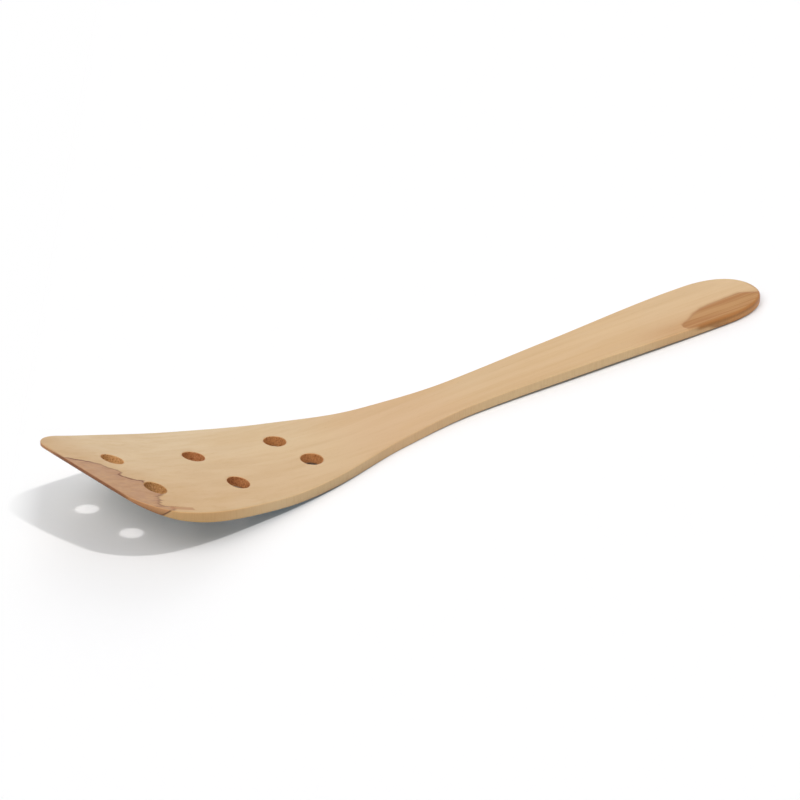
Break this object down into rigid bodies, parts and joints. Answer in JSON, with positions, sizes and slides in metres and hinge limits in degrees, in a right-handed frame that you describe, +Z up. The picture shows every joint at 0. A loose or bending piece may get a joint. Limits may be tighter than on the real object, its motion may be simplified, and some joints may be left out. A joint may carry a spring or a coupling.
{
  "type": "wooden spatula",
  "caption": "Wooden turning spatula: a thin, swept-up blade with a slanted front edge and round drain holes, narrowing to a long flat handle with a rounded end.",
  "frame": {"origin": "on the flat underside of the handle, halfway along the spatula, where it lies on the table", "axes": "+X from the blade to the end of the handle, +Y to the far side of the blade, +Z up out of the top face"},
  "size_m": [0.3024, 0.0608, 0.0307],
  "materials": {
    "wood": "sanded and lightly oiled"
  },
  "bodies": {
    "root": {"spatula": "wood"}
  },
  "joints": []
}
